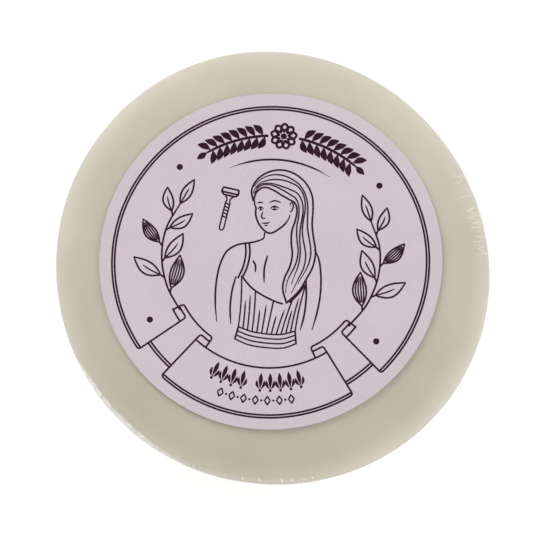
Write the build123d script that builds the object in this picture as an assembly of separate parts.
from build123d import *
import os

# A round cake of shaving soap in its retail wrap. Millimetres, +Z up.
# The cake is a stamped pebble: two flat faces, a broad elliptical shoulder above and below,
# and a narrow straight belt between them, where the two halves of the die meet.
# One clear shrink film encloses it, welded along a bead that runs round the belt and stops at
# the side where the film was folded. A paper label is stuck to the film on each face.
# The origin is the middle of the underside, which is the outer face of the back label.

# Soap cake
CAKE_DIAMETER = 77.2
CAKE_HEIGHT = 22.0
FLAT_DIAMETER = 52.0        # the flat part of each face
BELT_HEIGHT = 3.0           # the straight wall between the two shoulders

# Shrink film
FILM_WALL = 0.05
FILM_GAP = 0.03             # air left between the film and the soap

# Weld bead along three sides of the folded film
BEAD_WIDTH = 0.5            # along Z
BEAD_HEIGHT = 0.35          # out from the film
BEAD_SWEEP = 270.0          # degrees of the belt that are welded
FOLD_MIDDLE = 140.0         # degrees from +X to the middle of the folded side

# Paper labels
FRONT_LABEL_DIAMETER = 60.0
FRONT_LABEL_SHIFT = (0.4, -1.0)     # how far off centre the front label was put on
BACK_LABEL_DIAMETER = 50.0
LABEL_PAPER = 0.12

# Places that follow from the sizes above
CAKE_BOTTOM = LABEL_PAPER + FILM_WALL + FILM_GAP
CAKE_MIDDLE = CAKE_BOTTOM + CAKE_HEIGHT / 2
FILM_OUTSIDE = FILM_GAP + FILM_WALL
FILM_TOP = CAKE_BOTTOM + CAKE_HEIGHT + FILM_OUTSIDE
BELT_OUTSIDE = CAKE_DIAMETER / 2 + FILM_OUTSIDE


def pebble(grown):
    """The cake's shape with every face moved out by grown, as one solid of revolution."""
    flat = FLAT_DIAMETER / 2
    side = CAKE_DIAMETER / 2 + grown
    top = CAKE_HEIGHT / 2 + grown
    belt = BELT_HEIGHT / 2
    with BuildPart() as turned:
        with BuildSketch(Plane.XZ):
            with BuildLine():
                Line((0, -top), (flat, -top))
                EllipticalCenterArc((flat, -belt), side - flat, top - belt, start_angle=270, arc_size=90)
                Line((side, -belt), (side, belt))
                EllipticalCenterArc((flat, belt), side - flat, top - belt, start_angle=0, arc_size=90)
                Line((flat, top), (0, top))
                Line((0, top), (0, -top))
            make_face()
        revolve(axis=Axis.Z)
    return Pos(0, 0, CAKE_MIDDLE) * turned.part


def soap_cake():
    return pebble(0)


def shrink_film():
    return pebble(FILM_OUTSIDE) - pebble(FILM_GAP)


def weld_bead():
    """A ridge on the film's belt that leaves out the folded side."""
    start = FOLD_MIDDLE + (360 - BEAD_SWEEP) / 2
    section = Pos(BELT_OUTSIDE + BEAD_HEIGHT / 2, 0, CAKE_MIDDLE) * Rot(90, 0, 0) * Rectangle(
        BEAD_HEIGHT, BEAD_WIDTH
    )
    return Rot(0, 0, start) * revolve(section, axis=Axis.Z, revolution_arc=BEAD_SWEEP)


def label(diameter, bottom, shift=(0, 0)):
    disc = Cylinder(diameter / 2, LABEL_PAPER, align=(Align.CENTER, Align.CENTER, Align.MIN))
    return Pos(shift[0], shift[1], bottom) * disc


def front_label():
    return label(FRONT_LABEL_DIAMETER, FILM_TOP, FRONT_LABEL_SHIFT)


def back_label():
    return label(BACK_LABEL_DIAMETER, 0)


os.makedirs("parts", exist_ok=True)
for make in (soap_cake, shrink_film, weld_bead, front_label, back_label):
    export_step(make(), f"parts/{make.__name__}.step")
